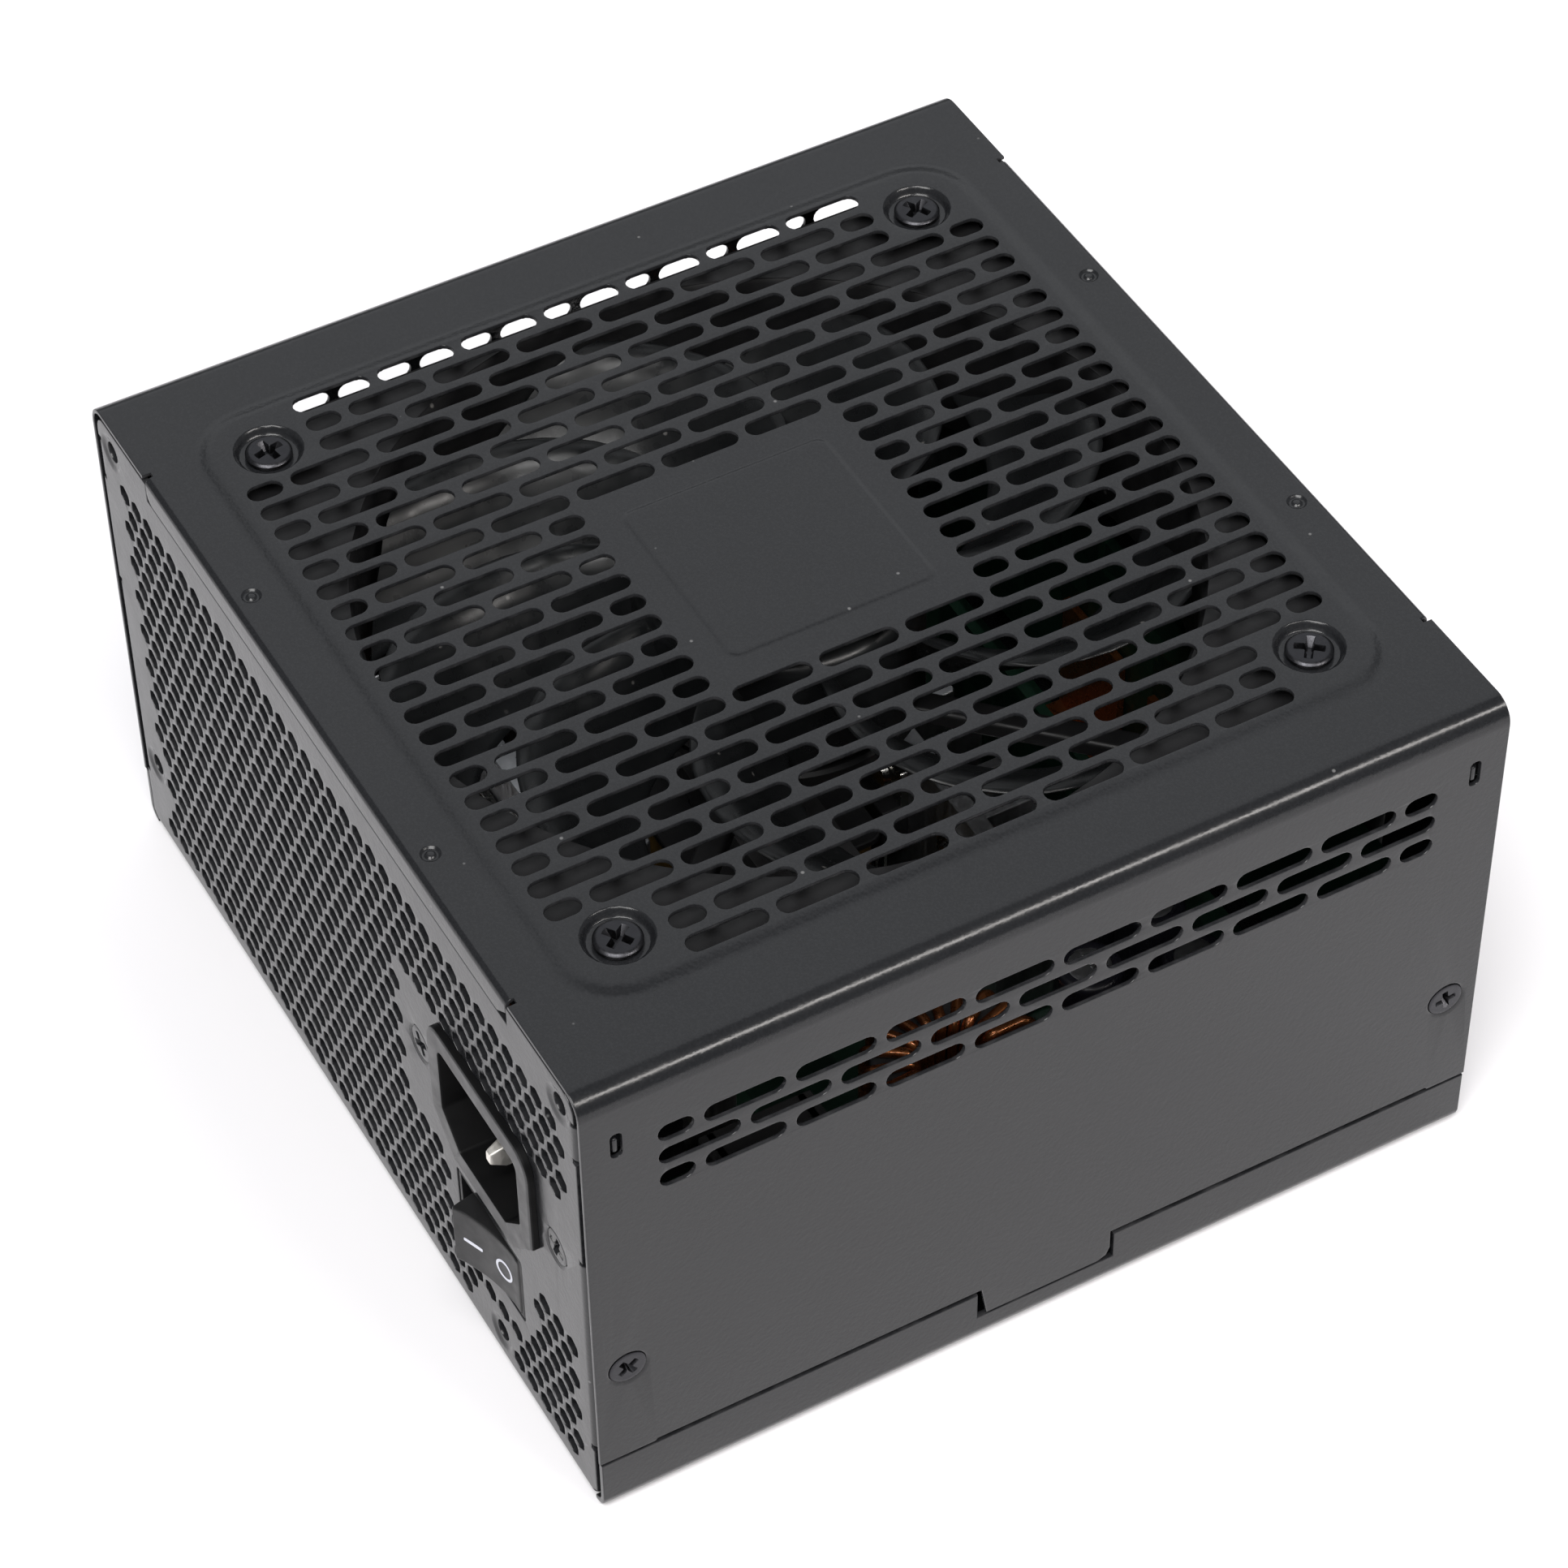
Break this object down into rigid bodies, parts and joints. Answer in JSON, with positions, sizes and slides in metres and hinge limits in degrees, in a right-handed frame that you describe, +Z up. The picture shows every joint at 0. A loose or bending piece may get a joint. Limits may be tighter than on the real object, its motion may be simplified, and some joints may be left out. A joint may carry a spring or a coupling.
{
  "type": "computer power supply unit",
  "caption": "Box-shaped desktop computer power supply with a large fan under a slotted top grille, a honeycomb mains panel, mains inlet and rocker switch.",
  "frame": {"origin": "centre of the case's underside, midway between its four walls", "axes": "+Z up towards the fan grille, -Y out of the mains panel with inlet and switch, +Y out of the cable side, +X along the mains panel towards the inlet"},
  "size_m": [0.15, 0.1441, 0.086],
  "materials": {
    "case_paint": "matt powder coat with a fine orange-peel texture",
    "black_screw": "black-oxide steel, slightly shiny",
    "zinc_screw": "zinc-plated steel",
    "bright_steel": "nickel-plated, smooth",
    "fan_plastic": "glossy black moulding",
    "brass": "bare brass",
    "inlet_plastic": "fine-grained black nylon",
    "black_plastic": "satin black nylon",
    "rocker_plastic": "satin black with white I and O marks",
    "circuit_board": "green solder mask",
    "insulating_film": "smoky plastic film",
    "ferrite": "dull grey ceramic",
    "copper": "enamelled copper wire",
    "aluminium": "extruded, natural",
    "capacitor_sleeve": "shrunk plastic sleeve",
    "yellow_film": "polyester tape",
    "component_resin": "moulded epoxy"
  },
  "bodies": {
    "case": {"cover": "case_paint", "tray": "case_paint", "cover_screw_1": "black_screw", "cover_screw_2": "black_screw", "cover_screw_3": "black_screw", "cover_screw_4": "black_screw", "inlet_screw_1": "zinc_screw", "inlet_screw_2": "zinc_screw", "fan_screw_1": "black_screw", "fan_screw_2": "black_screw", "fan_screw_3": "black_screw", "fan_screw_4": "black_screw", "board_screw_1": "zinc_screw", "board_screw_2": "zinc_screw", "board_screw_3": "zinc_screw", "board_screw_4": "zinc_screw", "fan_frame": "fan_plastic", "fan_bearing": "brass", "fan_stator": "copper", "inlet_live_pin": "bright_steel", "inlet_neutral_pin": "bright_steel", "inlet_earth_pin": "bright_steel", "inlet_housing": "inlet_plastic", "switch_terminal_1": "brass", "switch_terminal_2": "brass", "switch_housing": "black_plastic", "main_board": "circuit_board", "insulating_sheet": "insulating_film", "emi_choke_core": "ferrite", "emi_choke_winding": "copper", "pfc_choke_core": "ferrite", "pfc_choke_winding": "copper", "output_choke_core": "ferrite", "output_choke_winding": "copper", "main_transformer_core": "ferrite", "main_transformer_winding": "yellow_film", "primary_heatsink": "aluminium", "secondary_heatsink": "aluminium", "bulk_capacitor": "capacitor_sleeve", "output_capacitor_1": "capacitor_sleeve", "output_capacitor_2": "capacitor_sleeve", "output_capacitor_3": "capacitor_sleeve", "output_capacitor_4": "capacitor_sleeve", "x_capacitor": "yellow_film", "bridge_rectifier": "component_resin", "relay": "component_resin", "standby_transformer": "yellow_film", "control_board": "circuit_board", "modular_board": "circuit_board", "modular_socket_motherboard": "black_plastic", "modular_socket_processor_1": "black_plastic", "modular_socket_processor_2": "black_plastic", "modular_socket_graphics_1": "black_plastic", "modular_socket_graphics_2": "black_plastic", "modular_socket_drives": "black_plastic", "busbar_supply": "copper", "busbar_ground": "copper"},
    "fan": {"fan_rotor": "fan_plastic", "fan_shaft": "bright_steel"},
    "rocker": {"power_rocker": "rocker_plastic"}
  },
  "joints": [
    {"name": "fan_spin", "type": "hinge", "parent": "case", "child": "fan", "pos_m": [0, 0, 0.071], "axis": [0, 0, 1], "continuous": true},
    {"name": "rocker_tilt", "type": "hinge", "parent": "case", "child": "rocker", "pos_m": [0.04395, -0.0635, 0.0242], "axis": [0, 0, -1], "range_deg": [0, 30]}
  ]
}
